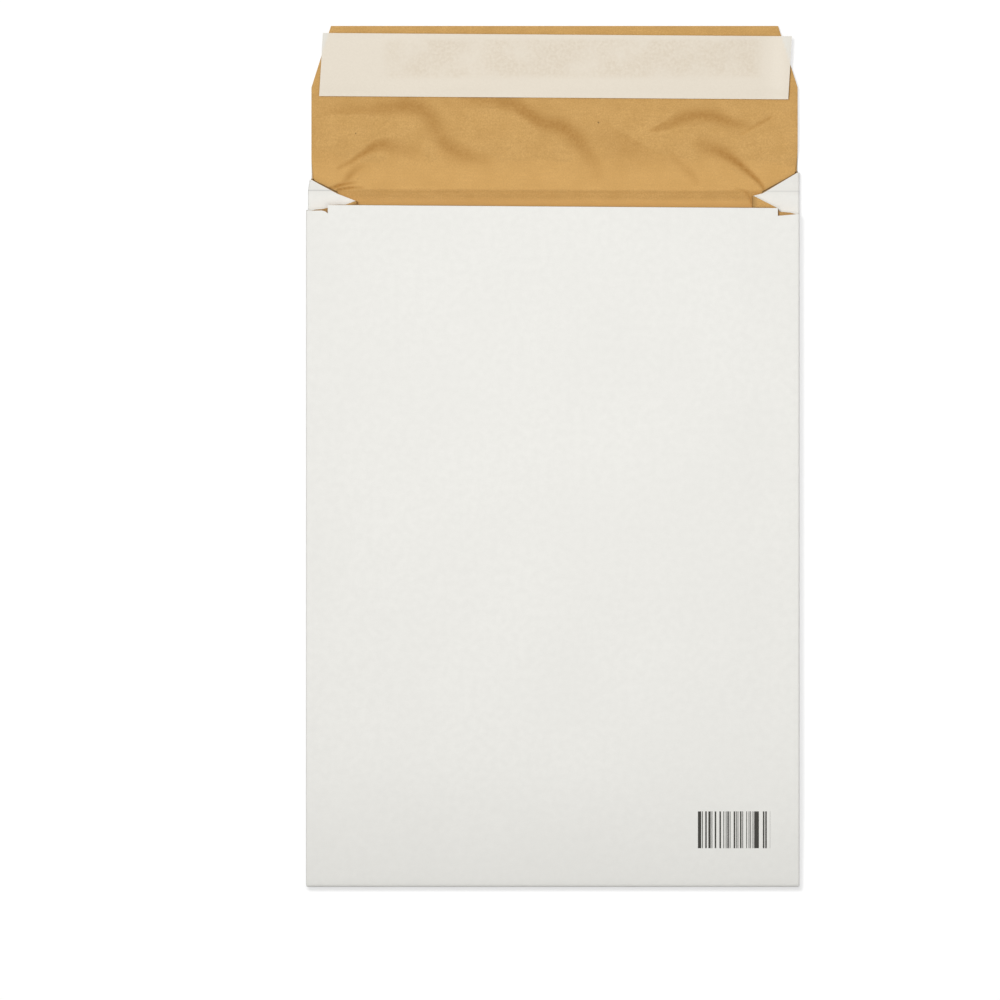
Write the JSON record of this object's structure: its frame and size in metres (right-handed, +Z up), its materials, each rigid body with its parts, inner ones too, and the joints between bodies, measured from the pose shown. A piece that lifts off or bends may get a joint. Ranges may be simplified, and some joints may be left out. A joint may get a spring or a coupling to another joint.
{
  "type": "padded envelope",
  "caption": "Open padded envelope with side gussets: white paper outside, brown padded lining, a long flap with cut corners and a peel-off strip over its glue.",
  "frame": {"origin": "centre of the bounding box's bottom face: on the outside of the front panel, which lies on the surface, midway between the bottom fold and the open flap's top edge", "axes": "+Y from the bottom fold to the flap's top edge, +X to the right when the back panel is seen from above with the flap away from the viewer, +Z up out of the back panel"},
  "size_m": [0.25, 0.4364, 0.0096],
  "materials": {
    "outer_wrapper": "white kraft paper, matt with a faint fibre mottle",
    "padded_liner": "brown padded kraft paper, matt and softly creased",
    "adhesive_band": "amber hot-melt sealing glue, tacky",
    "release_strip": "cream silicone-coated release paper, slight sheen"
  },
  "bodies": {
    "root": {"outer_wrapper": "outer_wrapper", "padded_liner": "padded_liner", "adhesive_band": "adhesive_band", "release_strip": "release_strip"}
  },
  "joints": []
}
